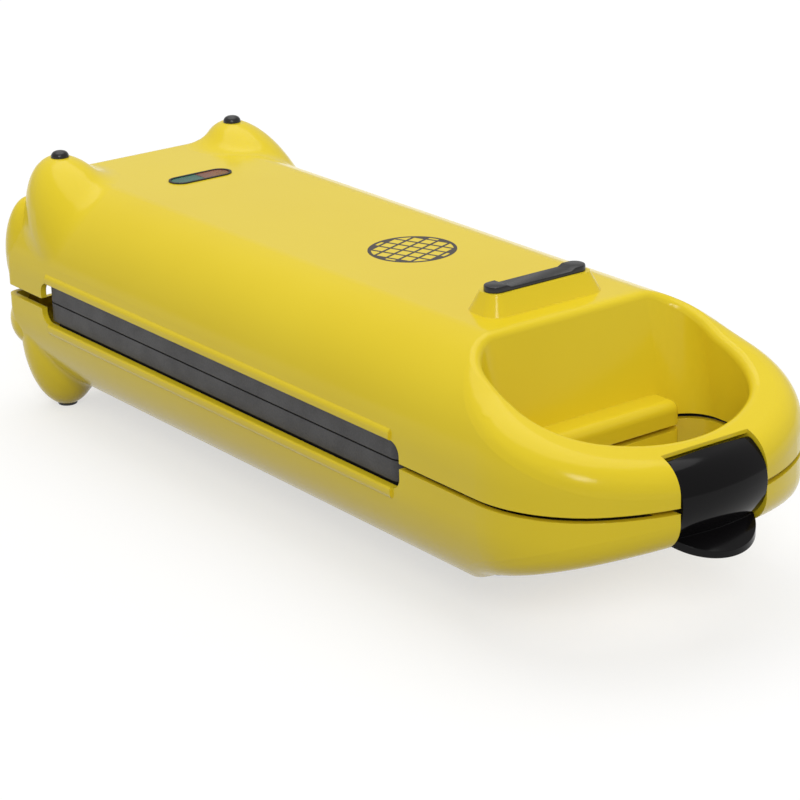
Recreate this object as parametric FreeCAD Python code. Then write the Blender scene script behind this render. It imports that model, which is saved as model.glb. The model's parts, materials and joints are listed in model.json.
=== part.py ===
import FreeCAD, Part
import math
import os

V = FreeCAD.Vector
X_AXIS = V(1, 0, 0)
Y_AXIS = V(0, 1, 0)
Z_AXIS = V(0, 0, 1)

# A countertop waffle maker for two waffles in line: two clam-shell halves hinged at the rear (+Y),
# a hand hole through the front (-Y), a latch on the nose. Millimetres, feet on z = 0, x = 0 is the
# plane of symmetry. Each half is drawn with its parting plane at z = 0 and its outside upwards.

# Overall sizes
OVERALL_LENGTH = 400.0
BODY_WIDTH = 136.0
HUMP_DEPTH = 10.0
TAB_REACH = 4.0
WALL = 2.6
PARTING_GAP = 2.0

# Form shared by both halves
SIDE_STRAIGHT = 8.5
SIDE_RADIUS = 39.0
TOP_HEIGHT = 46.8
NOSE_RADIUS = 85.0
NOSE_CORNER = 50.0
CREST_ROUND = 12.0
REAR_ROUND = 5.0

# Drop from the flat top to the sloping handle, measured back from the nose
DROP_START = 83.0
DROP_ANGLE = 32.0
DROP_TOP_ROUND = 22.0
DROP_FOOT_ROUND = 25.0
HANDLE_REAR = 75.0
HANDLE_REAR_HEIGHT = 38.0
HANDLE_ANGLE = 18.5

# Hand hole
RING_WIDTH = 19.0
HOLE_REAR = 73.0
HOLE_REAR_ANGLE = 14.0
HOLE_CORNER = 13.0
RIM_ROUND = 3.2
LEDGE_DEPTH = 9.0
LEDGE_HALF_WIDTH = 36.0
LEDGE_HEIGHT = 10.0
LEDGE_ROUND = 4.0

# Side window that shows the baking plates
WINDOW_FRONT = 99.0
WINDOW_REAR = 31.0
LID_WINDOW_HEIGHT = 8.6
BASE_WINDOW_HEIGHT = 9.6
WINDOW_CORNER = 5.0
LIP_HEIGHT = 5.4
LIP_PROUD = 0.9
LIP_FLAT = 3.2
LIP_ROUND = 2.7

# Rear corners: horns on the lid, legs on the base, and the rounded hinge housing across the back
HORN_X = 44.2
HORN_SETBACK = 13.3
HORN_LEAN = 20.8
HORN_HALF_WIDTH = 22.6
HORN_HALF_LENGTH = 29.3
HORN_RISE = 38.2
HORN_CENTRE = 18.0
HORN_BLEND = 18.0
LEG_X = 48.0
LEG_SETBACK = 11.3
LEG_RADIUS = 18.0
LEG_RISE = 34.5
LEG_CENTRE = 22.0
LEG_BLEND = 7.0
FOOT_SEAT = 55.4
HUMP_SIDE_INSET = 0.6
HUMP_SETBACK = 4.0
LID_HUMP_REACH = 12.1
LID_HUMP_RISE = 25.3
LID_HUMP_CENTRE = 13.0
BASE_HUMP_RISE = 14.0
BASE_HUMP_CENTRE = 17.0
BASE_REAR_DROP = 2.4
CHEEK_ROUND = 5.0
HUMP_LIP_ROUND = 4.0
REAR_NOTCH_HALF = 50.0
REAR_NOTCH_DEPTH = 12.2
NOTCH_CORNER = 3.0

# Feet
PEDESTAL_SETBACK = 104.5
PEDESTAL_LENGTH = 47.0
PEDESTAL_WIDTH = 11.5
PEDESTAL_FLARE = 3.6
PEDESTAL_CORNER = 4.0
STRIP_LENGTH = 44.4
STRIP_WIDTH = 8.0
STRIP_THICK = 1.0
PAD_RADIUS = 4.6
PAD_HEIGHT = 2.4
PAD_ROUND = 1.0
TIP_RADIUS = 3.9
TIP_HEIGHT = 2.7
TIP_ROUND = 2.5
FOOT_RADIUS = 4.3
FOOT_HEIGHT = 1.2
FOOT_ROUND = 0.4

# Baking plates
PLATE_REAR = 31.5
PLATE_FRONT = 101.0
PLATE_HALF_WIDTH = 65.6
PLATE_GAP = 0.6
PLATE_SKIRT = 8.0
PLATE_THICK = 11.0
PLATE_STEP = 2.4
PLATE_CORNER = 6.0
LAND = 8.0
DIVIDER = 9.0
CAVITY_DEPTH = 8.0
CAVITY_DRAFT = 14.0
STUD_ROWS = 5
STUD_GAP = 6.0
STUD_HEIGHT = 5.0
STUD_DRAFT = 16.0
STUD_CORNER = 1.0

# Heating elements and heat shields
HEATER_RADIUS = 3.3
HEATER_SPREAD = 36.0
HEATER_END = 12.0
HEATER_FRONT = 22.0
TERMINAL_RADIUS = 1.5
TERMINAL_LENGTH = 16.0
SHIELD_HALF_WIDTH = 57.0
SHIELD_END = 9.0
SHIELD_HEIGHT = 9.0
SHEET = 0.8
SHIELD_HOLE_GAP = 1.0

# Screws and bosses
SCREW_RADIUS = 1.5
SCREW_HEAD_RADIUS = 2.8
SCREW_HEAD_HEIGHT = 1.9
SCREW_HEAD_ROUND = 0.5
SCREW_DEPTH = 9.0
PILOT_SPARE = 1.0
SCREW_HOLE_CLEARANCE = 0.25
THREAD_CLEARANCE = 0.01
BOSS_RADIUS = 4.0
DIVIDER_SCREW_X = 22.0
END_SCREW_X = 45.0
END_SCREW_INSET = 4.6

# Hinge
HINGE_BEHIND = 1.0
HINGE_HEIGHT = 5.5
HINGE_X = 30.0
HINGE_PIN_RADIUS = 2.0
HINGE_PIN_CLEARANCE = 0.05
KNUCKLE_RADIUS = 3.6
KNUCKLE_WIDTH = 8.0
KNUCKLE_GAP = 0.4
LID_KNUCKLE_WIDTH = 5.0
BRACKET_THICK = 2.5
BRACKET_LENGTH = 18.0
BRACKET_SCREW_INSET = 5.0
LID_BRACKET_HEIGHT = 10.5
BASE_BRACKET_DEPTH = 9.0
SLOT_GAP = 0.8
SLOT_HEIGHT = 11.5

# Latch
LATCH_HALF_WIDTH = 19.7
LATCH_GAP = 0.4
LATCH_PROUD = 0.6
LATCH_THICK = 2.8
LATCH_PIVOT_BACK = 11.5
LATCH_PIVOT_HEIGHT = 11.0
LATCH_MOUTH_BACK = 12.8
LATCH_BARREL = 3.7
LATCH_POCKET = 4.9
LATCH_SHOULDER = 14.0
LATCH_SHOULDER_HEIGHT = 1.5
LATCH_FOOT_DEPTH = 12.3
LATCH_FOOT_BACK = 6.0
TAB_FALL = 5.0
TAB_THICK = 2.4
LATCH_PIN_RADIUS = 1.5
LATCH_PIN_HALF = 25.0
LATCH_BLOCK_HALF = 28.0
LATCH_BLOCK_DEPTH = 20.5

# Handle covers
COVER_THICK = 2.4
COVER_GAP = 0.2
COVER_REAR = 98.0
COVER_SCREW_X = 57.0
COVER_SCREW_BACK = (58.0, 82.0)

# Indicator window and its lamps
LENS_REAR = 55.0
LENS_LENGTH = 30.0
LENS_WIDTH = 11.0
BEZEL_WALL = 1.0
BEZEL_PROUD = 0.5
BEZEL_DEPTH = 3.4
LENS_GAP = 0.1
LAMP_RADIUS = 2.5
LAMP_LENGTH = 9.0
LAMP_ROUND = 1.5
LAMP_X = 7.0
LAMP_DROP = 4.5
HOLDER_THICK = 2.0
HOLDER_HALF = 26.0
HOLDER_WIDTH = 14.0
HOLDER_BOSS_X = 21.5
HOLDER_SCREW_DEPTH = 5.0

# Controls and connections inside
THERMOSTAT_RADIUS = 8.5
THERMOSTAT_HEIGHT = 8.0
BLADE_SPREAD = 4.0
BLADE_WIDTH = 6.0
BLADE_LENGTH = 7.0
FUSE_RADIUS = 2.4
FUSE_LENGTH = 22.0
FUSE_CLIP = 5.0
FUSE_CLIP_X = 7.0
CONTROL_SETBACK = 12.0
BLOCK_SIZE = (26.0, 15.0, 12.0)
BLOCK_BORE = 1.6
BLOCK_WAYS = 3
BLOCK_REAR = 31.0
GLAND_HEIGHT = 23.0
GLAND_SOCKET = 8.2
GLAND_RADIUS = 5.0
GLAND_BORE = 3.4
GLAND_FLANGE = 6.4
GLAND_FLANGE_THICK = 2.0
GLAND_LENGTH = 16.0

# Places worked out from the sizes above
REAR_Y = OVERALL_LENGTH / 2 - HUMP_DEPTH
NOSE_Y = -OVERALL_LENGTH / 2 + TAB_REACH
HALF_WIDTH = BODY_WIDTH / 2
HALF_GAP = PARTING_GAP / 2
NOSE_CENTRE_Y = NOSE_Y + NOSE_RADIUS
CORNER_X = HALF_WIDTH - NOSE_CORNER
CORNER_TURN = math.degrees(math.acos(CORNER_X / (NOSE_RADIUS - NOSE_CORNER)))
CORNER_Y = NOSE_CENTRE_Y - (NOSE_RADIUS - NOSE_CORNER) * math.sin(math.radians(CORNER_TURN))
HORN_Y = REAR_Y - HORN_SETBACK
LEG_Y = REAR_Y - LEG_SETBACK
PARTING_HEIGHT = FOOT_SEAT + FOOT_HEIGHT
PEDESTAL_SEAT = PARTING_HEIGHT - PAD_HEIGHT
HUMP_Y = REAR_Y - HUMP_SETBACK
BASE_HUMP_REACH = HUMP_DEPTH + HUMP_SETBACK
WINDOW_FRONT_Y = NOSE_Y + WINDOW_FRONT
WINDOW_REAR_Y = REAR_Y - WINDOW_REAR
PLATE_FRONT_Y = NOSE_Y + PLATE_FRONT
PLATE_REAR_Y = REAR_Y - PLATE_REAR
PLATE_MIDDLE_Y = (PLATE_FRONT_Y + PLATE_REAR_Y) / 2
PEDESTAL_Y = NOSE_Y + PEDESTAL_SETBACK
HINGE_Y = REAR_Y + HINGE_BEHIND
LATCH_PIVOT_Y = NOSE_Y + LATCH_PIVOT_BACK
LENS_Y = REAR_Y - LENS_REAR
CEILING = TOP_HEIGHT - WALL
FAR = OVERALL_LENGTH


def unit(vector):
    return V(vector).normalize()


def in_xy(z=0.0):
    return lambda p: V(p.x, p.y, z)


def in_xz(y=0.0):
    return lambda p: V(p.x, y, p.y)


def in_yz(x=0.0):
    return lambda p: V(x, p.x, p.y)


def rounded_wire(corners, place):
    """Closed wire through (u, v) or (u, v, radius) corners; place sets the flat drawing in space."""
    flat = [V(corner[0], corner[1], 0) for corner in corners]
    turns = []
    for i, corner in enumerate(corners):
        radius = corner[2] if len(corner) > 2 else 0
        if radius <= 0:
            turns.append((flat[i], None, flat[i]))
            continue
        back = unit(flat[i - 1] - flat[i])
        ahead = unit(flat[(i + 1) % len(flat)] - flat[i])
        half = back.getAngle(ahead) / 2
        reach = radius / math.tan(half)
        middle = flat[i] + unit(back + ahead) * (radius / math.sin(half) - radius)
        turns.append((flat[i] + back * reach, middle, flat[i] + ahead * reach))
    edges = []
    for i, (start, middle, end) in enumerate(turns):
        if middle is not None:
            edges.append(Part.Arc(place(start), place(middle), place(end)).toShape())
        following = turns[(i + 1) % len(turns)][0]
        if end.distanceToPoint(following) > 1e-6:
            edges.append(Part.LineSegment(place(end), place(following)).toShape())
    return Part.Wire(edges)


def rounded_face(corners, place):
    return Part.Face(rounded_wire(corners, place))


def box(low, high):
    size = V(*high) - V(*low)
    return Part.makeBox(size.x, size.y, size.z, V(*low))


def rod(radius, start, end):
    start = V(*start)
    span = V(*end) - start
    return Part.makeCylinder(radius, span.Length, start, span)


def mirrored(shape):
    """Mirror image across the plane of symmetry."""
    return shape.mirror(V(0, 0, 0), X_AXIS)


def both_sides(shape):
    return Part.makeCompound([shape, mirrored(shape)])


def fused(first, others):
    return first.multiFuse(list(others)).removeSplitter()


def joined(first, others):
    """Fuse and leave the faces as they fall: merging them fails on the hollow bells."""
    return first.multiFuse(list(others))


def cut_each(shape, tools):
    """Cut tools that may overlap, one after the other."""
    for tool in tools:
        shape = shape.cut(tool)
    return shape


def edges_where(shape, test):
    return [edge for edge in shape.Edges if test(edge)]


def mid_point(edge):
    return edge.valueAt((edge.FirstParameter + edge.LastParameter) / 2)


def flat_at(edge, y=None, z=None):
    """True where an edge lies in the plane at this y or this z."""
    bounds = edge.BoundBox
    if y is not None and max(abs(bounds.YMin - y), abs(bounds.YMax - y)) > 1e-4:
        return False
    return z is None or max(abs(bounds.ZMin - z), abs(bounds.ZMax - z)) < 1e-4


# Form of one half

def dome_profile(outer, inset, whole):
    """Cross-section of a half: upright side, side arc, flat top, out to a distance from the middle."""
    radius = SIDE_RADIUS - inset
    top = TOP_HEIGHT - inset
    lift = math.asin((top - SIDE_STRAIGHT) / radius)

    def on_arc(angle):
        return V(outer - SIDE_RADIUS + radius * math.cos(angle), 0, SIDE_STRAIGHT + radius * math.sin(angle))

    foot = V(outer - inset, 0, 0)
    edges = [Part.LineSegment(foot, on_arc(0)).toShape()]
    edges.append(Part.Arc(on_arc(0), on_arc(lift / 2), on_arc(lift)).toShape())
    if whole:
        edges += [edge.mirror(V(0, 0, 0), X_AXIS) for edge in list(edges)]
        left_top = V(-on_arc(lift).x, 0, top)
        left_foot = V(-foot.x, 0, 0)
    else:
        left_top = V(0, 0, top)
        left_foot = V(0, 0, 0)
        edges.append(Part.LineSegment(left_top, left_foot).toShape())
    edges.append(Part.LineSegment(on_arc(lift), left_top).toShape())
    edges.append(Part.LineSegment(left_foot, foot).toShape())
    return Part.Face(Part.Wire(Part.__sortEdges__(edges)))


def dome_sector(outer, inset, centre, start, sweep):
    """The same cross-section turned about an upright axis."""
    profile = dome_profile(outer, inset, False)
    profile.rotate(V(0, 0, 0), Z_AXIS, start)
    profile.translate(centre)
    return profile.revolve(centre, Z_AXIS, sweep)


def falling_line(back, height, angle, inset):
    """Point and direction of a line in (y, z) that falls towards the nose, set in along its normal."""
    slope = math.radians(angle)
    normal = V(-math.sin(slope), math.cos(slope), 0)
    return V(NOSE_Y + back, height, 0) - normal * inset, V(-math.cos(slope), -math.sin(slope), 0)


def crossing(first, second):
    (p, d), (q, e) = first, second
    along = ((q.x - p.x) * e.y - (q.y - p.y) * e.x) / (d.x * e.y - d.y * e.x)
    return p + d * along


def long_profile(inset):
    """Everything under the long profile: flat top, drop, and the handle sloping to the nose."""
    flat = falling_line(DROP_START, TOP_HEIGHT, 0, inset)
    drop = falling_line(DROP_START, TOP_HEIGHT, DROP_ANGLE, inset)
    handle = falling_line(HANDLE_REAR, HANDLE_REAR_HEIGHT, HANDLE_ANGLE, inset)
    brow = crossing(flat, drop)
    foot = crossing(drop, handle)
    end = handle[0] + handle[1] * FAR
    corners = [(FAR, end.y), (FAR, TOP_HEIGHT - inset), (brow.x, brow.y, DROP_TOP_ROUND - inset),
               (foot.x, foot.y, DROP_FOOT_ROUND + inset), (end.x, end.y)]
    return rounded_face(corners, in_yz(-BODY_WIDTH)).extrude(X_AXIS * (2 * BODY_WIDTH))


def is_top(face):
    surface = face.Surface
    if isinstance(surface, Part.Plane):
        return face.normalAt(0, 0).z > 0.3
    return isinstance(surface, Part.Cylinder) and abs(surface.Axis.x) > 0.9


def half_body(inset):
    """Domed body of a half, set in all round, with its crest and rear edges rounded."""
    prism = dome_profile(HALF_WIDTH, inset, True)
    prism.translate(V(0, CORNER_Y, 0))
    prism = prism.extrude(Y_AXIS * (REAR_Y - inset - CORNER_Y))
    centres = V(CORNER_X, CORNER_Y, 0), V(-CORNER_X, CORNER_Y, 0), V(0, NOSE_CENTRE_Y, 0)
    ends = [dome_sector(NOSE_CORNER, inset, centres[0], -CORNER_TURN, CORNER_TURN),
            dome_sector(NOSE_CORNER, inset, centres[1], 180, CORNER_TURN),
            dome_sector(NOSE_RADIUS, inset, centres[2], 180 + CORNER_TURN, 180 - 2 * CORNER_TURN)]
    body = fused(prism, ends).common(long_profile(inset)).removeSplitter()

    def on_crest(edge):
        faces = body.ancestorsOfType(edge, Part.Face)
        sides = [face for face in faces if not is_top(face)]
        return len(sides) == 1 and edge.BoundBox.ZMin > 1 and not flat_at(edge, y=REAR_Y - inset)

    body = body.makeFillet(CREST_ROUND - inset, edges_where(body, on_crest))
    rear = edges_where(body, lambda edge: flat_at(edge, y=REAR_Y - inset) and edge.BoundBox.ZMax > 1)
    return body.makeFillet(REAR_ROUND - inset, rear)


def nose_plan(inset, rear_y):
    """Plan of the nose set in by a width, closed across at rear_y."""
    turn = math.radians(CORNER_TURN)
    side = HALF_WIDTH - inset

    def corner_at(angle):
        reach = NOSE_CORNER - inset
        return V(CORNER_X + reach * math.cos(angle), CORNER_Y - reach * math.sin(angle), 0)

    def flip(point):
        return V(-point.x, point.y, 0)

    right = [V(side, CORNER_Y, 0), corner_at(turn / 2), corner_at(turn)]
    front = V(0, NOSE_Y + inset, 0)
    edges = [Part.LineSegment(V(side, rear_y, 0), right[0]).toShape(), Part.Arc(*right).toShape(),
             Part.Arc(right[2], front, flip(right[2])).toShape(),
             Part.Arc(*[flip(point) for point in reversed(right)]).toShape(),
             Part.LineSegment(flip(right[0]), V(-side, rear_y, 0)).toShape(),
             Part.LineSegment(V(-side, rear_y, 0), V(side, rear_y, 0)).toShape()]
    return Part.Face(Part.Wire(edges))


def hand_hole(grow):
    """Cutter for the hand hole: follows the nose at the ring's width, with a sloping rear wall."""
    plan = nose_plan(RING_WIDTH - grow, WINDOW_FRONT_Y)
    plan.translate(V(0, 0, -TOP_HEIGHT))
    column = plan.extrude(Z_AXIS * (3 * TOP_HEIGHT))
    lean = math.tan(math.radians(HOLE_REAR_ANGLE))
    foot = NOSE_Y + HOLE_REAR + grow / math.cos(math.radians(HOLE_REAR_ANGLE))
    high = 2 * TOP_HEIGHT
    slope = [(foot - TOP_HEIGHT * lean, -TOP_HEIGHT), (foot + high * lean, high),
             (-FAR, high), (-FAR, -TOP_HEIGHT)]
    column = column.common(rounded_face(slope, in_yz(-BODY_WIDTH)).extrude(X_AXIS * (2 * BODY_WIDTH)))

    def rear_corner(edge):
        bounds = edge.BoundBox
        return bounds.ZLength > TOP_HEIGHT and bounds.YLength > 1

    return column.makeFillet(HOLE_CORNER + grow, edges_where(column, rear_corner))


def half_ellipse(reach, rise, height):
    """Face between the z axis and a half-ellipse beside it, in the XZ plane."""
    top = V(0, 0, height + rise)
    side = V(reach, 0, height)
    bottom = V(0, 0, height - rise)
    centre = V(0, 0, height)
    if abs(rise - reach) < 1e-6:
        arc = Part.Arc(top, side, bottom).toShape()
    elif rise > reach:
        arc = Part.Ellipse(top, side, centre).toShape(0, math.pi)
    else:
        arc = Part.Ellipse(side, top, centre).toShape(-math.pi / 2, math.pi / 2)
    return Part.Face(Part.Wire([arc, Part.LineSegment(bottom, top).toShape()]))


def bell(form, inset):
    """Egg-shaped solid; form is its centre, its half lengths in x, y and z, and its top's lean in y."""
    centre, (reach_x, reach_y, rise), lean = form
    stretch = FreeCAD.Matrix(
        reach_x - inset, 0, 0, centre.x,
        0, reach_y - inset, lean * (rise - inset) / rise, centre.y,
        0, 0, rise - inset, centre.z,
        0, 0, 0, 1)
    return Part.makeSphere(1).transformGeometry(stretch)


def hump(size, inset):
    """Rounded housing across the back: an elliptic bar with turned ends."""
    reach, rise, height = size
    end = V(HALF_WIDTH - HUMP_SIDE_INSET - reach, HUMP_Y, 0)
    profile = half_ellipse(reach - inset, rise - inset, height)
    profile.rotate(V(0, 0, 0), Z_AXIS, -90)
    profile.translate(end)
    right = profile.revolve(end, Z_AXIS, 180)
    front = mirrored(profile)
    rear = half_ellipse(reach - inset, rise - inset, height)
    rear.rotate(V(0, 0, 0), Z_AXIS, 90)
    rear.translate(V(-end.x, end.y, 0))
    along = X_AXIS * (2 * end.x)
    return fused(rear.extrude(along), [front.extrude(along), right, mirrored(right)])


def rounded_plan(length_x, length_y, corner, z):
    """Rounded rectangle wire about the origin at height z."""
    x = length_x / 2
    y = length_y / 2
    return rounded_wire([(-x, -y, corner), (x, -y, corner), (x, y, corner), (-x, y, corner)], in_xy(z))


def slab(length_x, length_y, corner, low, high):
    return Part.Face(rounded_plan(length_x, length_y, corner, low)).extrude(Z_AXIS * (high - low))


def frustum(low_size, low_corner, low, high_size, high_corner, high):
    """Tapered block between two rounded rectangles."""
    wires = [rounded_plan(*low_size, low_corner, low), rounded_plan(*high_size, high_corner, high)]
    return Part.makeLoft(wires, True, True)


def pedestal():
    """Raised block near the front that carries the foot strip."""
    low = PEDESTAL_LENGTH + 2 * PEDESTAL_FLARE, PEDESTAL_WIDTH + 2 * PEDESTAL_FLARE
    root = CEILING
    grow = (TOP_HEIGHT - root) / (PEDESTAL_SEAT - TOP_HEIGHT) * PEDESTAL_FLARE
    low = low[0] + 2 * grow, low[1] + 2 * grow
    block = frustum(low, PEDESTAL_CORNER + PEDESTAL_FLARE, root, (PEDESTAL_LENGTH, PEDESTAL_WIDTH),
                    PEDESTAL_CORNER, PEDESTAL_SEAT)
    block.translate(V(0, PEDESTAL_Y, 0))
    return block


def holed_body():
    """Outside of a half with the hand hole cut and its rim rounded."""
    body = half_body(0)
    hole = hand_hole(0)
    holed = body.cut(hole)

    def on_rim(edge):
        point = Part.Vertex(mid_point(edge))
        if point.Z < 1:
            return False
        return max(body.Shells[0].distToShape(point)[0], hole.Shells[0].distToShape(point)[0]) < 1e-3

    return holed.makeFillet(RIM_ROUND, edges_where(holed, on_rim))


def ledge():
    """Low step along the foot of the hand hole's rear wall."""
    rear = NOSE_Y + HOLE_REAR
    front = rear - LEDGE_DEPTH
    block = box((-LEDGE_HALF_WIDTH, front, 0), (LEDGE_HALF_WIDTH, rear + LEDGE_HEIGHT, LEDGE_HEIGHT))

    def outer(edge):
        middle = mid_point(edge)
        along_end = abs(abs(middle.x) - LEDGE_HALF_WIDTH) < 1e-3 and flat_at(edge, z=LEDGE_HEIGHT)
        return middle.z > 1e-3 and (middle.y < front + 1e-3 or along_end)

    return block.makeFillet(LEDGE_ROUND, edges_where(block, outer))


def screw_places():
    """Plate screws as (x, y): two in the divider and two at each end."""
    ends = PLATE_FRONT_Y + END_SCREW_INSET, PLATE_REAR_Y - END_SCREW_INSET
    places = [(DIVIDER_SCREW_X, PLATE_MIDDLE_Y)] + [(END_SCREW_X, y) for y in ends]
    return [(sign * x, y) for x, y in places for sign in (-1, 1)]


def cover_screw_places():
    return [(sign * COVER_SCREW_X, NOSE_Y + back) for back in COVER_SCREW_BACK for sign in (-1, 1)]


def boss(x, y, low, depth, outside):
    """Screw boss from height low up into the shell's ceiling, with a blind pilot hole."""
    post = rod(BOSS_RADIUS, (x, y, low), (x, y, FOOT_SEAT)).common(outside)
    return post.cut(rod(SCREW_RADIUS + THREAD_CLEARANCE, (x, y, low), (x, y, low + depth + PILOT_SPARE)))


def window(height):
    """Cutter for the side windows, open to the parting plane."""
    corners = [(WINDOW_FRONT_Y, -height), (WINDOW_FRONT_Y, height, WINDOW_CORNER),
               (WINDOW_REAR_Y, height, WINDOW_CORNER), (WINDOW_REAR_Y, -height)]
    return rounded_face(corners, in_yz(-BODY_WIDTH)).extrude(X_AXIS * (2 * BODY_WIDTH))


def window_lip(height):
    """Raised bead along the window's long edge, on the right side."""
    inside = HALF_WIDTH - WALL / 2
    outside = HALF_WIDTH + LIP_PROUD
    corners = [(inside, height), (outside, height, LIP_PROUD), (outside, height + LIP_FLAT, LIP_ROUND),
               (inside, height + LIP_HEIGHT)]
    start = WINDOW_FRONT_Y + WINDOW_CORNER
    bead = rounded_face(corners, in_xz(start))
    return bead.extrude(Y_AXIS * (WINDOW_REAR_Y - WINDOW_CORNER - start))


def blended(body, bells, radius):
    """Body with its corner bells, the seams between them rounded out."""
    whole = fused(body, bells)

    def on_seam(edge):
        point = Part.Vertex(mid_point(edge))
        faces = whole.ancestorsOfType(edge, Part.Face)
        if point.Z < 1 or len(faces) != 2 or faces[0].isSame(faces[1]):
            return False
        return min(each.Shells[0].distToShape(point)[0] for each in bells) < 1e-3

    return whole.makeFillet(radius, edges_where(whole, on_seam))


OUTSIDE_FORM = holed_body()
LATCH_BLOCK = box((-LATCH_BLOCK_HALF, -FAR, -1), (LATCH_BLOCK_HALF, NOSE_Y + LATCH_BLOCK_DEPTH, FAR))
HOLLOW_FORM = half_body(WALL).cut(hand_hole(WALL)).cut(LATCH_BLOCK)


def corner_bells(form, inset):
    """The bells of both rear corners."""
    right = bell(form, inset)
    return [right, mirrored(right)]


def half_outside(bell_form, bell_blend, hump_size):
    """Outside of one half as a solid, with its corner bells, rear housing, pedestal and ledge."""
    outside = blended(OUTSIDE_FORM.copy(), corner_bells(bell_form, 0), bell_blend)
    outside = fused(outside, [hump(hump_size, 0), pedestal(), ledge()])
    return cut_each(outside, [box((-FAR, -FAR, FOOT_SEAT), (FAR, FAR, FAR)),
                              box((-FAR, -FAR, -FAR), (FAR, FAR, HALF_GAP))])


def half_shell(outside, bell_form, hump_size, window_height, bosses):
    """Moulded shell of one half: its outside hollowed, with bosses, side windows and their beads."""
    hollows = [HOLLOW_FORM.copy(), hump(hump_size, WALL)] + corner_bells(bell_form, WALL)
    shell = joined(cut_each(outside, hollows), [boss(*each, outside) for each in bosses])
    lip = window_lip(window_height)
    return joined(shell.cut(window(window_height)), [lip, mirrored(lip)])


# Baking plates, heating elements and heat shields: the same in both halves

PLATE_FACE = PLATE_GAP / 2
PLATE_BACK = PLATE_FACE + PLATE_THICK
PLATE_LENGTH = PLATE_REAR_Y - PLATE_FRONT_Y
CAVITY_WIDTH = 2 * (PLATE_HALF_WIDTH - LAND)
CAVITY_LENGTH = (PLATE_LENGTH - 2 * LAND - DIVIDER) / 2
SHIELD_TOP = PLATE_BACK + SHIELD_HEIGHT
SHIELD_FRONT_Y = PLATE_FRONT_Y + SHIELD_END
SHIELD_REAR_Y = PLATE_REAR_Y - SHIELD_END
HEATER_Z = PLATE_BACK + HEATER_RADIUS


def waffle_cavity():
    """Space that one waffle fills in a plate: a shallow tapered tray around rows of studs."""
    floor = PLATE_FACE + CAVITY_DEPTH
    slope = math.tan(math.radians(CAVITY_DRAFT)) * CAVITY_DEPTH
    inner = CAVITY_WIDTH - 2 * slope, CAVITY_LENGTH - 2 * slope
    tray = frustum((CAVITY_WIDTH, CAVITY_LENGTH), PLATE_CORNER, PLATE_FACE,
                   inner, PLATE_CORNER - slope, floor)
    pitch = inner[0] / STUD_ROWS, inner[1] / STUD_ROWS
    taper = 2 * STUD_HEIGHT * math.tan(math.radians(STUD_DRAFT))
    foot = pitch[0] - STUD_GAP, pitch[1] - STUD_GAP
    crown = foot[0] - taper, foot[1] - taper
    stud = frustum(foot, STUD_CORNER, floor, crown, STUD_CORNER, floor - STUD_HEIGHT)
    studs = []
    for i in range(STUD_ROWS):
        for j in range(STUD_ROWS):
            copy = stud.copy()
            middle = (STUD_ROWS - 1) / 2
            copy.translate(V((i - middle) * pitch[0], (j - middle) * pitch[1], 0))
            studs.append(copy)
    return tray.cut(studs)


def plate_screw(x, y):
    """Countersunk screw through the plate's face into a boss."""
    head = Part.makeCone(SCREW_HEAD_RADIUS, SCREW_RADIUS, SCREW_HEAD_HEIGHT, V(x, y, PLATE_FACE))
    return fused(head, [rod(SCREW_RADIUS, (x, y, PLATE_FACE), (x, y, PLATE_BACK + SCREW_DEPTH))])


def baking_plate():
    """Cast plate: skirt that shows in the window, stepped back, two waffle cavities in its face."""
    skirt = slab(2 * PLATE_HALF_WIDTH, PLATE_LENGTH, PLATE_CORNER, PLATE_FACE, PLATE_FACE + PLATE_SKIRT)
    back = slab(2 * (PLATE_HALF_WIDTH - PLATE_STEP), PLATE_LENGTH - 2 * PLATE_STEP,
                PLATE_CORNER - PLATE_STEP, PLATE_FACE + PLATE_SKIRT, PLATE_BACK)
    plate = fused(skirt, [back])
    cavity = waffle_cavity()
    for sign in (-1, 1):
        copy = cavity.copy()
        copy.translate(V(0, sign * (CAVITY_LENGTH + DIVIDER) / 2, 0))
        plate = plate.cut(copy)
    plate.translate(V(0, PLATE_MIDDLE_Y, 0))
    grown = SCREW_HOLE_CLEARANCE
    for x, y in screw_places():
        at = V(x, y, PLATE_FACE)
        sink = Part.makeCone(SCREW_HEAD_RADIUS + grown, SCREW_RADIUS + grown, SCREW_HEAD_HEIGHT, at)
        plate = plate.cut([sink, rod(SCREW_RADIUS + grown, (x, y, PLATE_FACE), (x, y, PLATE_BACK))])
    return plate


def heating_element():
    """Hairpin tube on the plate's back, with a terminal pin at each end."""
    rear = PLATE_REAR_Y - HEATER_END
    bend = PLATE_FRONT_Y + HEATER_FRONT + HEATER_SPREAD
    left = V(-HEATER_SPREAD, bend, HEATER_Z)
    right = V(HEATER_SPREAD, bend, HEATER_Z)
    start = V(-HEATER_SPREAD, rear, HEATER_Z)
    end = V(HEATER_SPREAD, rear, HEATER_Z)
    tip = V(0, bend - HEATER_SPREAD, HEATER_Z)
    path = Part.Wire([Part.LineSegment(start, left).toShape(), Part.Arc(left, tip, right).toShape(),
                      Part.LineSegment(right, end).toShape()])
    ring = Part.Wire([Part.makeCircle(HEATER_RADIUS, start, Y_AXIS)])
    tube = path.makePipeShell([ring], True, True)
    pins = [rod(TERMINAL_RADIUS, (x, rear - HEATER_RADIUS, HEATER_Z), (x, rear + TERMINAL_LENGTH, HEATER_Z))
            for x in (-HEATER_SPREAD, HEATER_SPREAD)]
    return fused(tube, pins)


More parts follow.
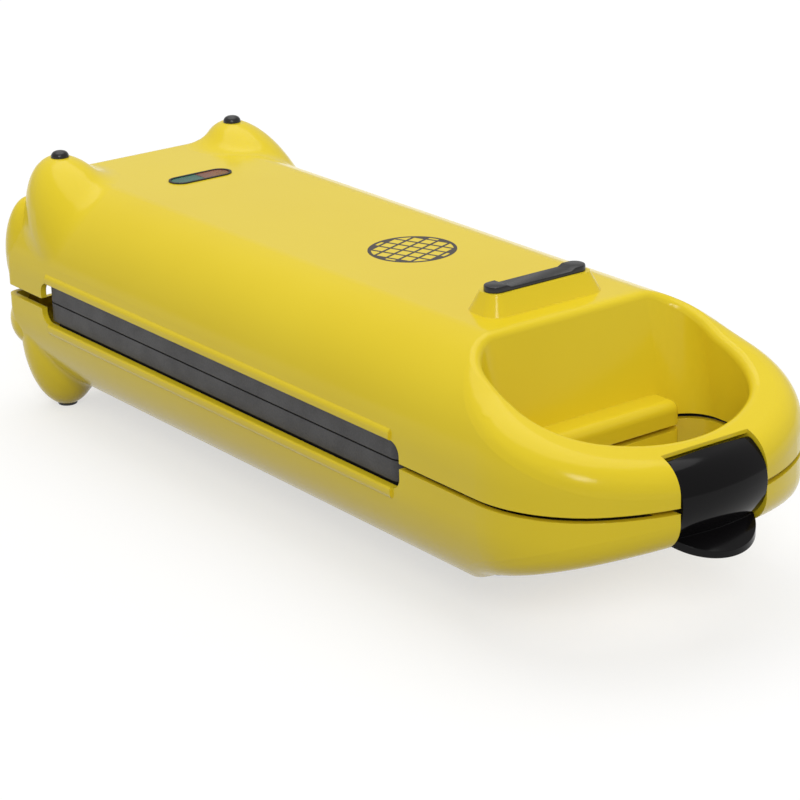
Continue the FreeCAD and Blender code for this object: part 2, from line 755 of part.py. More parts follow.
def heat_shield():
    """Sheet tray over the element, open towards the plate and at the rear for the terminals."""
    half = SHIELD_HALF_WIDTH
    outer = box((-half, SHIELD_FRONT_Y, PLATE_BACK), (half, SHIELD_REAR_Y, SHIELD_TOP))
    inner = box((SHEET - half, SHIELD_FRONT_Y + SHEET, 0), (half - SHEET, FAR, SHIELD_TOP - SHEET))
    holes = [rod(BOSS_RADIUS + SHIELD_HOLE_GAP, (x, PLATE_MIDDLE_Y, 0), (x, PLATE_MIDDLE_Y, FAR))
             for x in (-DIVIDER_SCREW_X, DIVIDER_SCREW_X)]
    return outer.cut([inner] + holes)


COVER_TOP = HALF_GAP + COVER_THICK
COVER_SEAT = COVER_TOP - SCREW_HEAD_HEIGHT / 2


def cover_screw(x, y):
    """Pan-head screw up through the handle cover into its boss."""
    low = COVER_SEAT - SCREW_HEAD_HEIGHT
    head = rod(SCREW_HEAD_RADIUS, (x, y, low), (x, y, COVER_SEAT))
    head = head.makeFillet(SCREW_HEAD_ROUND, edges_where(head, lambda edge: flat_at(edge, z=low)))
    return fused(head, [rod(SCREW_RADIUS, (x, y, low + SCREW_HEAD_ROUND), (x, y, COVER_TOP + SCREW_DEPTH))])


def handle_cover():
    """Flat cover that closes the hollow handle round the hand hole and up to the plate."""
    plan = nose_plan(WALL + COVER_GAP, NOSE_Y + COVER_REAR)
    plan.translate(V(0, 0, HALF_GAP))
    cover = plan.extrude(Z_AXIS * COVER_THICK).cut(hand_hole(WALL + COVER_GAP))
    block = LATCH_BLOCK_HALF + COVER_GAP
    cover = cover.cut(box((-block, -FAR, 0), (block, NOSE_Y + LATCH_BLOCK_DEPTH + COVER_GAP, FAR)))
    shank = SCREW_RADIUS + SCREW_HOLE_CLEARANCE
    head = SCREW_HEAD_RADIUS + SCREW_HOLE_CLEARANCE
    for x, y in cover_screw_places():
        cover = cover.cut([rod(shank, (x, y, 0), (x, y, FAR)), rod(head, (x, y, 0), (x, y, COVER_SEAT))])
    return cover


def topped_rod(radius, x, y, low, height, rounding):
    """Upright rod standing at height low, its top edge rounded."""
    top = low + height
    foot = rod(radius, (x, y, low), (x, y, top))
    return foot.makeFillet(rounding, edges_where(foot, lambda edge: flat_at(edge, z=top)))


def foot_strip():
    """Rubber strip on the pedestal, with a raised round pad at each end."""
    strip = slab(STRIP_LENGTH, STRIP_WIDTH, STRIP_WIDTH / 2, PEDESTAL_SEAT, PEDESTAL_SEAT + STRIP_THICK)
    strip.translate(V(0, PEDESTAL_Y, 0))
    pad_x = (STRIP_LENGTH - STRIP_WIDTH) / 2
    pad = topped_rod(PAD_RADIUS, pad_x, PEDESTAL_Y, PEDESTAL_SEAT, PAD_HEIGHT, PAD_ROUND)
    return fused(strip, [pad, mirrored(pad)])


# Hinge: steel brackets screwed inside each half, turning on two short pins

BASE_KNUCKLE = (HINGE_X - KNUCKLE_WIDTH / 2, HINGE_X + KNUCKLE_WIDTH / 2)
LID_KNUCKLES = ((BASE_KNUCKLE[0] - KNUCKLE_GAP - LID_KNUCKLE_WIDTH, BASE_KNUCKLE[0] - KNUCKLE_GAP),
                (BASE_KNUCKLE[1] + KNUCKLE_GAP, BASE_KNUCKLE[1] + KNUCKLE_GAP + LID_KNUCKLE_WIDTH))
BASE_BRACKET_SEAT = BASE_BRACKET_DEPTH + BRACKET_THICK
BRACKET_SCREW_Y = HINGE_Y - BRACKET_LENGTH + BRACKET_SCREW_INSET


def hinge_pin():
    """Pin through one set of knuckles, on the right."""
    return rod(HINGE_PIN_RADIUS, (LID_KNUCKLES[0][0], HINGE_Y, HINGE_HEIGHT),
               (LID_KNUCKLES[1][1], HINGE_Y, HINGE_HEIGHT))


def knuckle(span, height):
    return rod(KNUCKLE_RADIUS, (span[0], HINGE_Y, height), (span[1], HINGE_Y, height))


def bracket_screw(seat):
    """Pan-head screw through a bracket's leaf, on the right."""
    low = seat - BRACKET_THICK
    at = HINGE_X, BRACKET_SCREW_Y
    head = rod(SCREW_HEAD_RADIUS, (*at, low - SCREW_HEAD_HEIGHT), (*at, low))
    return fused(head, [rod(SCREW_RADIUS, (*at, low), (*at, seat + SCREW_DEPTH))])


def bracket_leaf(low_x, high_x, rear_y, seat):
    leaf = box((low_x, HINGE_Y - BRACKET_LENGTH, seat - BRACKET_THICK), (high_x, rear_y, seat))
    hole = SCREW_RADIUS + SCREW_HOLE_CLEARANCE
    return leaf.cut(rod(hole, (HINGE_X, BRACKET_SCREW_Y, -FAR), (HINGE_X, BRACKET_SCREW_Y, FAR)))


def pin_bore(clearance, height):
    return rod(HINGE_PIN_RADIUS + clearance, (0, HINGE_Y, height), (FAR, HINGE_Y, height))


def lid_bracket():
    """Leaf under the lid's boss with a knuckle on each side of the base's, on the right."""
    seat = LID_BRACKET_HEIGHT
    rear = HINGE_Y - KNUCKLE_RADIUS - 2 * KNUCKLE_GAP
    pieces = []
    for span in LID_KNUCKLES:
        pieces.append(box((span[0], rear - BRACKET_THICK, HINGE_HEIGHT), (span[1], HINGE_Y, seat)))
        pieces.append(knuckle(span, HINGE_HEIGHT))
    leaf = bracket_leaf(LID_KNUCKLES[0][0], LID_KNUCKLES[1][1], rear, seat)
    return fused(leaf, pieces).cut(pin_bore(THREAD_CLEARANCE, HINGE_HEIGHT))


def base_bracket():
    """Leaf on the base's boss with an arm up to the middle knuckle; drawn upside down like the base."""
    low, high = BASE_KNUCKLE
    arm = box((low, HINGE_Y - BRACKET_THICK, -HINGE_HEIGHT),
              (high, HINGE_Y + BRACKET_THICK, BASE_BRACKET_SEAT))
    leaf = bracket_leaf(low, high, HINGE_Y, BASE_BRACKET_SEAT)
    bracket = fused(leaf, [arm, knuckle(BASE_KNUCKLE, -HINGE_HEIGHT)])
    return bracket.cut(pin_bore(HINGE_PIN_CLEARANCE, -HINGE_HEIGHT))


def lid_hinge_slot():
    """Slot in the lid's housing that the base's arm swings through, on the right."""
    return box((BASE_KNUCKLE[0] - SLOT_GAP, HINGE_Y - KNUCKLE_RADIUS - SLOT_GAP, -1),
               (BASE_KNUCKLE[1] + SLOT_GAP, FAR, SLOT_HEIGHT))


def base_rear_notch():
    """Wide opening in the base's rear wall that leaves room for the hinge and the lid's housing."""
    half = REAR_NOTCH_HALF
    deep = REAR_NOTCH_DEPTH
    corners = [(-half, -deep), (half, -deep), (half, deep, NOTCH_CORNER), (-half, deep, NOTCH_CORNER)]
    front = REAR_Y - WALL - REAR_ROUND / 2
    return rounded_face(corners, in_xz(front)).extrude(Y_AXIS * FAR)


def cheek_cuts():
    """Cutters that lower the base's rear cheeks and round them off behind, under the swinging lid."""
    top = HALF_GAP + BASE_REAR_DROP
    rear = LEG_Y + LEG_RADIUS - CHEEK_ROUND
    corner = box((-FAR, rear, 0), (FAR, FAR, top + CHEEK_ROUND))
    rounding = rod(CHEEK_ROUND, (-FAR, rear, top + CHEEK_ROUND), (FAR, rear, top + CHEEK_ROUND))
    return [box((-FAR, WINDOW_REAR_Y, 0), (FAR, FAR, top)), corner.cut(rounding)]


# Latch on the nose: its section is drawn in (distance from the nose's centre, height above parting)

LATCH_FACE_R = NOSE_RADIUS + LATCH_PROUD
TAB_R = NOSE_RADIUS + TAB_REACH
LATCH_TURN = 40.0
BELLY_FALL = LATCH_SHOULDER_HEIGHT + LATCH_FOOT_DEPTH
BELLY_TURN = 2 * math.atan2(LATCH_FOOT_BACK, BELLY_FALL)
BELLY_RADIUS = BELLY_FALL / math.sin(BELLY_TURN)


def latch_line(inset):
    """Outer line of the latch set in by inset: brow, shoulder arc, and the arc back to its foot."""
    slope = math.radians(HANDLE_ANGLE)
    shoulder = V(LATCH_FACE_R - LATCH_SHOULDER, 0, LATCH_SHOULDER_HEIGHT)
    belly = V(LATCH_FACE_R - BELLY_RADIUS, 0, LATCH_SHOULDER_HEIGHT)

    def on_arc(centre, radius, angle):
        return centre + V(math.cos(angle), 0, math.sin(angle)) * (radius - inset)

    steep = math.pi / 2 - slope
    brow = on_arc(shoulder, LATCH_SHOULDER, steep)
    top = brow + V(-math.cos(slope), 0, math.sin(slope)) * (LATCH_PIVOT_BACK + LATCH_POCKET)
    foot = on_arc(belly, BELLY_RADIUS, -BELLY_TURN)
    half_way = on_arc(shoulder, LATCH_SHOULDER, steep / 2), on_arc(belly, BELLY_RADIUS, -BELLY_TURN / 2)
    face = on_arc(shoulder, LATCH_SHOULDER, 0)
    edges = [Part.LineSegment(top, brow).toShape(), Part.Arc(brow, half_way[0], face).toShape(),
             Part.Arc(face, half_way[1], foot).toShape()]
    return edges, top, foot


def joined_lines(points):
    return [Part.LineSegment(a, b).toShape() for a, b in zip(points, points[1:])]


def turned_about_nose(edges):
    """Solid of a section turned to both sides of the nose's centre line."""
    face = Part.Face(Part.Wire(Part.__sortEdges__(edges)))
    face.rotate(V(0, 0, 0), Z_AXIS, -90 - LATCH_TURN)
    face.translate(V(0, NOSE_CENTRE_Y, 0))
    return face.revolve(V(0, NOSE_CENTRE_Y, 0), Z_AXIS, 2 * LATCH_TURN)


def latch_mouth():
    """Space of the latch's width that is cut from the nose, before what the nose keeps is left standing."""
    half = LATCH_HALF_WIDTH + LATCH_GAP
    return box((-half, -FAR, -FAR), (half, NOSE_Y + LATCH_MOUTH_BACK, FAR))


def pivot_rod(radius, half):
    return rod(radius, (-half, LATCH_PIVOT_Y, LATCH_PIVOT_HEIGHT), (half, LATCH_PIVOT_Y, LATCH_PIVOT_HEIGHT))


def lid_latch_recess():
    """Cutter for the lid's nose: down to just behind the latch's inner face, and the barrel's pocket."""
    edges, top, foot = latch_line(LATCH_THICK + LATCH_GAP)
    below = foot.z - LATCH_FOOT_DEPTH
    core = turned_about_nose(edges + joined_lines([foot, V(foot.x, 0, below), V(top.x, 0, below), top]))
    return fused(latch_mouth().cut(core), [pivot_rod(LATCH_POCKET, LATCH_HALF_WIDTH + LATCH_GAP)])


def base_latch_recess():
    """Cutter for the base's nose: upright, so that the closed latch clears it as the lid lifts."""
    foot = latch_line(LATCH_THICK + LATCH_GAP)[2]
    core = Part.makeCylinder(foot.x, FAR, V(0, NOSE_CENTRE_Y, -FAR / 2))
    return latch_mouth().cut(core)


def half_moon(root):
    """Upright column; its front is an arc through the latch's lower corners and the tab's tip."""
    half = LATCH_HALF_WIDTH
    side_y = NOSE_CENTRE_Y - math.sqrt(root ** 2 - half ** 2)
    tip = V(0, NOSE_CENTRE_Y - TAB_R, -FAR / 2)
    left = V(-half, side_y, -FAR / 2)
    right = V(half, side_y, -FAR / 2)
    back = [V(half, LATCH_PIVOT_Y, -FAR / 2), V(-half, LATCH_PIVOT_Y, -FAR / 2)]
    edges = [Part.Arc(left, tip, right).toShape()] + joined_lines([right, *back, left])
    return Part.Face(Part.Wire(edges)).extrude(Z_AXIS * FAR)


def latch():
    """Curved cover with a thumb tab at its foot and a barrel at its top."""
    outer, top, foot = latch_line(0)
    inner, inner_top, inner_foot = latch_line(LATCH_THICK)
    tip = V(TAB_R, 0, foot.z - TAB_FALL)
    under = V(TAB_R, 0, tip.z - TAB_THICK)
    heel = V(inner_foot.x, 0, foot.z - TAB_THICK)
    half = LATCH_HALF_WIDTH
    ends = joined_lines([foot, inner_foot]) + joined_lines([inner_top, top])
    cover = turned_about_nose(outer + inner + ends)
    cover = cover.common(box((-half, -FAR, -FAR), (half, LATCH_PIVOT_Y, FAR)))
    tab = turned_about_nose(joined_lines([foot, tip, under, heel, inner_foot, foot]))
    tab = tab.common(half_moon(inner_foot.x))
    body = fused(cover, [tab, pivot_rod(LATCH_BARREL, half)])
    return body.cut(pivot_rod(LATCH_PIN_RADIUS + HINGE_PIN_CLEARANCE, FAR))


# Indicator window, lamps and controls

def indicator_slab(shrink, low, high):
    """Obround of the indicator window, set in all round."""
    width = LENS_WIDTH - 2 * shrink
    shape = slab(LENS_LENGTH - 2 * shrink, width, width / 2, low, high)
    shape.translate(V(0, LENS_Y, 0))
    return shape


def indicator_bezel():
    low = TOP_HEIGHT - BEZEL_DEPTH
    ring = indicator_slab(0, low, TOP_HEIGHT + BEZEL_PROUD)
    return ring.cut(indicator_slab(BEZEL_WALL, low - 1, FAR))


def lens(sign):
    """Half of the coloured window; sign -1 is the left half."""
    whole = indicator_slab(BEZEL_WALL + LENS_GAP, TOP_HEIGHT - BEZEL_DEPTH, TOP_HEIGHT + BEZEL_PROUD / 2)
    low, high = sorted((sign * LENS_GAP, sign * LENS_LENGTH))
    return whole.common(box((low, -FAR, 0), (high, FAR, FAR)))


HOLDER_TOP = TOP_HEIGHT - BEZEL_DEPTH - LAMP_DROP - LAMP_RADIUS


def lamp_holder():
    """Bracket that carries the lamps, screwed under the lid's top."""
    half = HOLDER_WIDTH / 2
    plate = box((-HOLDER_HALF, LENS_Y - half, HOLDER_TOP - HOLDER_THICK),
                (HOLDER_HALF, LENS_Y + half, HOLDER_TOP))
    hole = SCREW_RADIUS + SCREW_HOLE_CLEARANCE
    return plate.cut([rod(hole, (x, LENS_Y, 0), (x, LENS_Y, FAR)) for x in (-HOLDER_BOSS_X, HOLDER_BOSS_X)])


def holder_screw():
    low = HOLDER_TOP - HOLDER_THICK
    at = HOLDER_BOSS_X, LENS_Y
    head = rod(SCREW_HEAD_RADIUS, (*at, low - SCREW_HEAD_HEIGHT), (*at, low))
    return fused(head, [rod(SCREW_RADIUS, (*at, low), (*at, HOLDER_TOP + HOLDER_SCREW_DEPTH))])


def glow_lamp():
    """Lamp lying on the holder under the right lens."""
    z = HOLDER_TOP + LAMP_RADIUS
    end = LENS_Y + LAMP_LENGTH / 2
    bulb = rod(LAMP_RADIUS, (LAMP_X, end - LAMP_LENGTH, z), (LAMP_X, end, z))
    return bulb.makeFillet(LAMP_ROUND, edges_where(bulb, lambda edge: flat_at(edge, y=end)))


def thermostat():
    """Round snap-disc control standing on the shield, with two blade terminals."""
    y = PLATE_MIDDLE_Y + CONTROL_SETBACK + THERMOSTAT_RADIUS
    top = SHIELD_TOP + THERMOSTAT_HEIGHT
    body = rod(THERMOSTAT_RADIUS, (0, y, SHIELD_TOP), (0, y, top))
    half = BLADE_WIDTH / 2
    return fused(body, [box((x, y - half, top), (x + SHEET, y + half, top + BLADE_LENGTH))
                        for x in (-BLADE_SPREAD, BLADE_SPREAD)])


def thermal_fuse():
    """Sleeved cut-out on two clips that stand on the shield."""
    y = PLATE_MIDDLE_Y - CONTROL_SETBACK - FUSE_RADIUS
    z = SHIELD_TOP + FUSE_CLIP
    sleeve = rod(FUSE_RADIUS, (-FUSE_LENGTH / 2, y, z), (FUSE_LENGTH / 2, y, z))
    return fused(sleeve, [box((x, y - FUSE_RADIUS, SHIELD_TOP), (x + SHEET, y + FUSE_RADIUS, z))
                          for x in (-FUSE_CLIP_X, FUSE_CLIP_X)])


def terminal_block():
    """Connector strip on the base's floor, near the cord gland; drawn upside down like the base."""
    width, length, height = BLOCK_SIZE
    y = REAR_Y - BLOCK_REAR
    block = box((-width / 2, y - length / 2, CEILING - height), (width / 2, y + length / 2, CEILING))
    pitch = width / BLOCK_WAYS
    for i in range(BLOCK_WAYS):
        x = (i - (BLOCK_WAYS - 1) / 2) * pitch
        block = block.cut(rod(BLOCK_BORE, (x, -FAR, CEILING - height / 2), (x, FAR, CEILING - height / 2)))
    return block


GLAND_FACE_Y = HUMP_Y + BASE_HUMP_REACH
GLAND_SEAT_Y = GLAND_FACE_Y - GLAND_FLANGE_THICK


def along_gland(radius, start_y, end_y):
    return rod(radius, (0, start_y, GLAND_HEIGHT), (0, end_y, GLAND_HEIGHT))


def cord_gland():
    """Bush in the base's rear socket; its bore is where the supply cord goes in."""
    flange = along_gland(GLAND_FLANGE, GLAND_SEAT_Y, GLAND_FACE_Y)
    bush = fused(flange, [along_gland(GLAND_RADIUS, GLAND_FACE_Y - GLAND_LENGTH, GLAND_SEAT_Y)])
    return bush.cut(along_gland(GLAND_BORE, -FAR, FAR))


# Shells with what is cut into each

def common_bosses():
    """Bosses of both halves, as (x, y, foot, screw depth): plate screws and cover screws."""
    bosses = [(x, y, PLATE_BACK, SCREW_DEPTH) for x, y in screw_places()]
    return bosses + [(x, y, COVER_TOP, SCREW_DEPTH) for x, y in cover_screw_places()]


def lid_shell():
    """Upper shell, with the hinge slots, the latch's recess and pin hole, and the indicator window."""
    bosses = common_bosses()
    bosses += [(x, BRACKET_SCREW_Y, LID_BRACKET_HEIGHT, SCREW_DEPTH) for x in (-HINGE_X, HINGE_X)]
    bosses += [(x, LENS_Y, HOLDER_TOP, HOLDER_SCREW_DEPTH) for x in (-HOLDER_BOSS_X, HOLDER_BOSS_X)]
    half_lengths = HORN_HALF_WIDTH, HORN_HALF_LENGTH, HORN_RISE
    horn = V(HORN_X, HORN_Y - HORN_LEAN, HORN_CENTRE), half_lengths, HORN_LEAN
    housing = LID_HUMP_REACH, LID_HUMP_RISE, LID_HUMP_CENTRE
    outside = half_outside(horn, HORN_BLEND, housing)
    rear_lip = edges_where(outside, lambda edge: flat_at(edge, z=HALF_GAP) and mid_point(edge).y > REAR_Y)
    outside = outside.makeFillet(HUMP_LIP_ROUND, rear_lip)
    shell = half_shell(outside, horn, housing, LID_WINDOW_HEIGHT, bosses)
    slot = lid_hinge_slot()
    pin_hole = pivot_rod(LATCH_PIN_RADIUS + THREAD_CLEARANCE, LATCH_PIN_HALF)
    lens_hole = indicator_slab(0, HOLDER_TOP, FAR)
    return cut_each(shell, [slot, mirrored(slot), lid_latch_recess(), pin_hole, lens_hole])


def base_shell():
    """Lower shell, with the rear opening for the hinge, the latch's recess and the cord socket."""
    bosses = common_bosses()
    bosses += [(x, BRACKET_SCREW_Y, BASE_BRACKET_SEAT, SCREW_DEPTH) for x in (-HINGE_X, HINGE_X)]
    leg = V(LEG_X, LEG_Y, LEG_CENTRE), (LEG_RADIUS, LEG_RADIUS, LEG_RISE), 0
    housing = BASE_HUMP_REACH, BASE_HUMP_RISE, BASE_HUMP_CENTRE
    shell = half_shell(half_outside(leg, LEG_BLEND, housing), leg, housing, BASE_WINDOW_HEIGHT, bosses)
    shell = joined(shell, [along_gland(GLAND_SOCKET, HUMP_Y, GLAND_SEAT_Y)])
    bore = along_gland(GLAND_RADIUS + COVER_GAP, HUMP_Y - GLAND_LENGTH, FAR)
    flange_seat = along_gland(GLAND_FLANGE + COVER_GAP, GLAND_SEAT_Y, FAR)
    return cut_each(shell, [base_rear_notch(), base_latch_recess(), bore, flange_seat] + cheek_cuts())


def upright(shape):
    """Set a piece of the lid at its height above the table."""
    shape.translate(Z_AXIS * PARTING_HEIGHT)
    return shape


def turned_over(shape):
    """Turn a piece drawn like the lid over into the base."""
    return upright(shape.mirror(V(0, 0, 0), Z_AXIS))


def group(shapes):
    return Part.makeCompound(list(shapes))


# Pieces that are alike in both halves
PAIRED_PIECES = {
    "handle_cover": handle_cover(),
    "baking_plate": baking_plate(),
    "heating_element": heating_element(),
    "heat_shield": heat_shield(),
    "thermal_fuse": thermal_fuse(),
    "foot_strip": foot_strip(),
    "plate_screws": group(plate_screw(x, y) for x, y in screw_places()),
    "cover_screws": group(cover_screw(x, y) for x, y in cover_screw_places()),
}
LID_PIECES = {
    "lid_shell": lid_shell(),
    "lid_horn_tips": both_sides(topped_rod(TIP_RADIUS, HORN_X, HORN_Y, FOOT_SEAT, TIP_HEIGHT, TIP_ROUND)),
    "lid_hinge_brackets": both_sides(lid_bracket()),
    "lid_hinge_screws": both_sides(bracket_screw(LID_BRACKET_HEIGHT)),
    "hinge_pins": both_sides(hinge_pin()),
    "indicator_bezel": indicator_bezel(),
    "green_lens": lens(-1),
    "red_lens": lens(1),
    "lamp_holder": lamp_holder(),
    "lamp_holder_screws": both_sides(holder_screw()),
    "glow_lamps": both_sides(glow_lamp()),
    "thermostat": thermostat(),
    "latch_pin": pivot_rod(LATCH_PIN_RADIUS, LATCH_PIN_HALF),
    "latch": latch(),
}
BASE_PIECES = {
    "base_shell": base_shell(),
    "base_rear_feet": both_sides(topped_rod(FOOT_RADIUS, LEG_X, LEG_Y, FOOT_SEAT, FOOT_HEIGHT, FOOT_ROUND)),
    "base_hinge_brackets": both_sides(base_bracket()),
    "base_hinge_screws": both_sides(bracket_screw(BASE_BRACKET_SEAT)),
    "terminal_block": terminal_block(),
    "cord_gland": cord_gland(),
}
for name, piece in PAIRED_PIECES.items():
    LID_PIECES["lid_" + name] = piece.copy()
    BASE_PIECES["base_" + name] = piece

os.makedirs("parts", exist_ok=True)
for name, piece in LID_PIECES.items():
    upright(piece).exportStep("parts/" + name + ".step")
for name, piece in BASE_PIECES.items():
    turned_over(piece).exportStep("parts/" + name + ".step")
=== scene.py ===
import json
import math

import bmesh
import bpy
from bpy.props import FloatProperty, FloatVectorProperty, PointerProperty
from mathutils import Matrix, Vector


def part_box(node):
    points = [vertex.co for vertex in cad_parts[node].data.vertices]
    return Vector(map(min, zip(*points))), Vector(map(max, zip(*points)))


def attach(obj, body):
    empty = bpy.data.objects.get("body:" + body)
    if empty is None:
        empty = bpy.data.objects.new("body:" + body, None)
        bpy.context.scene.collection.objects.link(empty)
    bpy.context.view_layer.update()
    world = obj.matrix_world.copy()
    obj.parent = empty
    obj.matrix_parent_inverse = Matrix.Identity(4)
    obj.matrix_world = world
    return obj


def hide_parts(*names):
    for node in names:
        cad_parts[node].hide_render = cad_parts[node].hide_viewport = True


bl_info = {
    "name": "Waffle maker",
    "version": (1, 0, 0),
    "blender": (4, 5, 0),
    "location": "View3D > Sidebar > Waffle maker",
    "description": "Finishes, lid print and studio for a clam-shell waffle maker built around its solids",
    "category": "Object",
}

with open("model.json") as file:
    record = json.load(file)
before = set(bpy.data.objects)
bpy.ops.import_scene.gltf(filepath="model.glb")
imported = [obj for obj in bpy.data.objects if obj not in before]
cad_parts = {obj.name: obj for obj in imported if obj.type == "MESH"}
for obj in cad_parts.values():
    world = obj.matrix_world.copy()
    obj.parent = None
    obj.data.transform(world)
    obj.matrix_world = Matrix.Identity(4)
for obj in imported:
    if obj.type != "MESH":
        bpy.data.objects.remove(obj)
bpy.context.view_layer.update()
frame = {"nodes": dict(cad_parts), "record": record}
MM = 0.001

# Most values of a noise lie between these two.
NOISE_LOW = 0.3
NOISE_HIGH = 0.7

# Moulded plastic and rubber: width of the slow changes of tone and gloss, and how far the gloss varies.
TONE_SIZE = 120 * MM
GLOSS_SIZE = 35 * MM
GLOSS_SPREAD = 0.15

# Depth of the grain on polished and satin plastic and on rubber.
POLISHED_RELIEF = 0.002 * MM
SATIN_RELIEF = 0.006 * MM
RUBBER_RELIEF = 0.012 * MM

# Metal: width and depth of its drawn grain, and how far the gloss varies.
DRAWN_GRAIN = 0.6 * MM
DRAWN_RELIEF = 0.004 * MM
DRAWN_SPREAD = 0.2

# Coating of the plates: its flecks and its uneven gloss.
FLECK_SIZE = 0.7 * MM
FLECK_RELIEF = 0.02 * MM
COAT_PATCH = 9 * MM
COAT_ROUGHNESS = (0.42, 0.54)

# Lenses: how much darker their deeper spots are, and the ribs on their inner side.
LENS_DEPTH = 0.7
LENS_ROUGHNESS = (0.1, 0.2)
RIB_SCALE = 300.0
RIB_WAVER = 0.4
RIB_RELIEF = 0.05 * MM

# Rounded outer edge of a strip, as inset and drop of each ring in shares of its radius.
EDGE_RINGS = ((0.0, 1.0), (0.3, 0.3), (1.0, 0.0))
STRIP_END_STEPS = 12
SHARP_ANGLE = math.radians(30)
WELD_DISTANCE = 0.001 * MM
DISC_STEPS = 96

# Stage: the floor's disc in metres, the camera's range, and each lamp's place, spread and strength.
FLOOR_RADIUS = 60.0
FLOOR_STEPS = 64
CAMERA_RANGE = (0.01, 100.0)
LAMPS = {
    "Top light": ((0.1, 0.2, 1.0), math.radians(60), 1.2),
    "Front light": ((-0.5, -0.75, 0.6), math.radians(18), 0.75),
}


def srgb(red, green, blue):
    """Linear colour from the 0 to 255 values that a picture shows."""
    shown = [channel / 255 for channel in (red, green, blue)]
    return [c / 12.92 if c <= 0.04045 else ((c + 0.055) / 1.055) ** 2.4 for c in shown]


def colour_property(name, description, default):
    return FloatVectorProperty(
        name=name, description=description, subtype="COLOR", size=3, min=0.0, max=1.0, default=default
    )


def length_property(name, description, default):
    return FloatProperty(name=name, description=description, unit="LENGTH", default=default, min=0.0)


def share_property(name, description, default):
    return FloatProperty(
        name=name, description=description, subtype="FACTOR", min=0.0, max=1.0, default=default
    )


class WaffleFinishSettings(bpy.types.PropertyGroup):
    """Colours and gloss of the pieces."""

    shell: colour_property("Shell", "Colour of the moulded shells", srgb(233, 208, 44))
    shell_shade: colour_property("Shell shade", "Second tone of the shells", srgb(229, 202, 38))
    shell_roughness: share_property("Shell roughness", "Mean roughness of the shells", 0.17)
    plate: colour_property("Plate", "Colour of the coated baking plates", srgb(46, 45, 47))
    plate_fleck: colour_property("Plate fleck", "Lighter flecks in the coating", srgb(62, 61, 63))
    # This colour also feeds the satin black, which is the trim's and gland's own colour and, on the handle
    # covers, painted shade for the parting gap.
    latch: colour_property("Latch", "Colour of the latch", srgb(13, 12, 13))
    rubber: colour_property("Rubber", "Colour of feet, strips and tips", srgb(27, 26, 27))
    green: colour_property("Green lens", "Colour of the ready lens", srgb(22, 108, 84))
    red: colour_property("Red lens", "Colour of the power lens", srgb(146, 78, 44))
    grain: length_property("Grain", "Size of the finest moulding grain", 0.4 * MM)
    edge: length_property("Edge softness", "Radius by which sharp edges catch the light", 0.35 * MM)


class WaffleStripSettings(bpy.types.PropertyGroup):
    """The rubber strips with raised ends on the lid and under the base."""

    half_width: length_property("Half width", "Half the width of a strip", 4.2 * MM)
    thickness: length_property("Thickness", "Thickness of a strip between its raised ends", 1.4 * MM)
    pad: length_property("Pad", "Length of a raised end", 6.8 * MM)
    ramp: length_property("Ramp", "Length of the slope up to a raised end", 2.0 * MM)
    rounding: length_property("Rounding", "Radius of the outer edges", 0.6 * MM)


class WafflePrintSettings(bpy.types.PropertyGroup):
    """The plain lattice disc printed on the lid."""

    centre: FloatVectorProperty(
        name="Centre",
        description="Middle of the print on the lid, seen from above",
        subtype="XYZ",
        unit="LENGTH",
        size=2,
        default=(4.0 * MM, -11.0 * MM),
    )
    radius: length_property("Radius", "Outer radius of the printed disc", 17.5 * MM)
    rim: length_property("Rim", "Width of the disc's outline", 1.4 * MM)
    pitch: length_property("Pitch", "Distance between the lattice bars", 5.6 * MM)
    bar: length_property("Bar", "Width of the lattice bars", 1.15 * MM)
    thickness: length_property("Ink", "Thickness of the ink on the plastic", 0.03 * MM)
    turn: FloatProperty(
        name="Turn", description="Angle of the lattice", subtype="ANGLE", default=math.radians(20)
    )
    ink: colour_property("Ink colour", "Colour of the print", srgb(44, 30, 20))


class WaffleStageSettings(bpy.types.PropertyGroup):
    """Camera, floor and lamps."""

    place: FloatVectorProperty(
        name="Camera",
        description="Where the camera stands",
        subtype="TRANSLATION",
        unit="LENGTH",
        size=3,
        default=(-0.614677, -0.851471, 0.420852),
    )
    aim: FloatVectorProperty(
        name="Aim",
        description="Direction in which the camera looks",
        subtype="DIRECTION",
        size=3,
        default=(0.552306, 0.760309, -0.341890),
    )
    roll: FloatProperty(
        name="Roll", description="Turn about the view axis", subtype="ANGLE", default=math.radians(-1.76)
    )
    lens: FloatProperty(name="Lens", description="Focal length", unit="CAMERA", default=126.02)
    floor_tone: share_property("Floor", "Lightness of the floor under the lamps", 0.38)
    floor_lift: share_property("Floor lift", "Light added to the floor as background", 0.62)
    surround: share_property("Surround", "Even light from all round", 0.57)


class WaffleSettings(bpy.types.PropertyGroup):
    """All settings of the waffle maker."""

    finish: PointerProperty(type=WaffleFinishSettings)
    strip: PointerProperty(type=WaffleStripSettings)
    print: PointerProperty(type=WafflePrintSettings)
    stage: PointerProperty(type=WaffleStageSettings)


